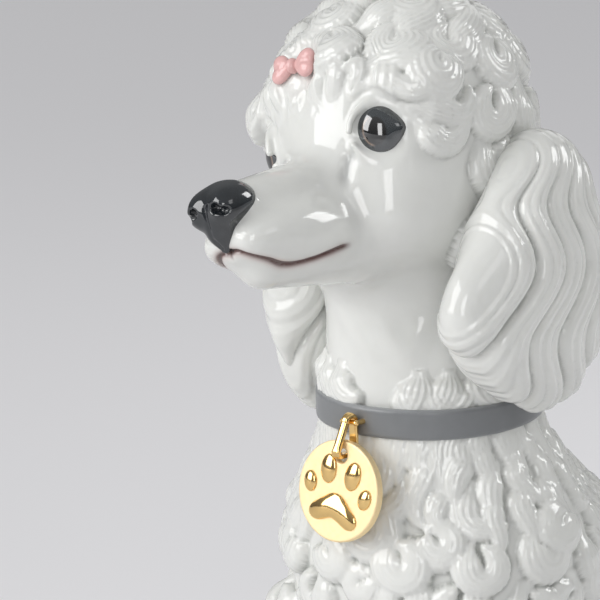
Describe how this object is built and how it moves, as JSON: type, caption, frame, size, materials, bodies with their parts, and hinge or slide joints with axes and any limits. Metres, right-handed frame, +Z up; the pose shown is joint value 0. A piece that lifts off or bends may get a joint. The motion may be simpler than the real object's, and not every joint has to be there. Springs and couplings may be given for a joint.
{
  "type": "seated dog figurine",
  "caption": "Seated poodle figurine in white glazed porcelain, with a pink bow, a grey collar and a gold paw-print tag that swings on a small bail.",
  "frame": {"origin": "centre of the bounding box, on the surface that the dog sits on", "axes": "+Z up, -Y the way the dog faces, +X towards the dog's left"},
  "size_m": [0.1138, 0.1944, 0.2582],
  "materials": {
    "white_glaze": "glossy white porcelain glaze",
    "eye_glaze": "glossy painted dark grey, black pupil",
    "nose_glaze": "glossy charcoal glaze",
    "pink_glaze": "satin pink glaze",
    "grey_glaze": "satin grey glaze",
    "matt_gold": "matt grained gold plate",
    "polished_gold": "polished gold plate"
  },
  "bodies": {
    "figurine": {"body": "white_glaze", "head": "white_glaze", "ear_left": "white_glaze", "ear_right": "white_glaze", "foreleg_left": "white_glaze", "foreleg_right": "white_glaze", "hind_leg_left": "white_glaze", "hind_leg_right": "white_glaze", "tail": "white_glaze", "eye_left": "eye_glaze", "eye_right": "eye_glaze", "nose": "nose_glaze", "bow_loop_left": "pink_glaze", "bow_loop_right": "pink_glaze", "bow_knot": "pink_glaze", "collar": "grey_glaze", "tag_staple": "polished_gold"},
    "bail": {"tag_bail": "polished_gold"},
    "tag": {"tag_disc": "matt_gold", "paw_pad": "polished_gold", "toe_pad_outer_right": "polished_gold", "toe_pad_inner_right": "polished_gold", "toe_pad_inner_left": "polished_gold", "toe_pad_outer_left": "polished_gold"}
  },
  "joints": [
    {"name": "bail_swing", "type": "hinge", "parent": "figurine", "child": "bail", "pos_m": [0, -0.04823, 0.1558], "axis": [-1, 0, 0], "range_deg": [0, 70]},
    {"name": "tag_swing", "type": "hinge", "parent": "bail", "child": "tag", "pos_m": [0, -0.05023, 0.148], "axis": [-1, 0, 0], "range_deg": [0, 20]}
  ]
}
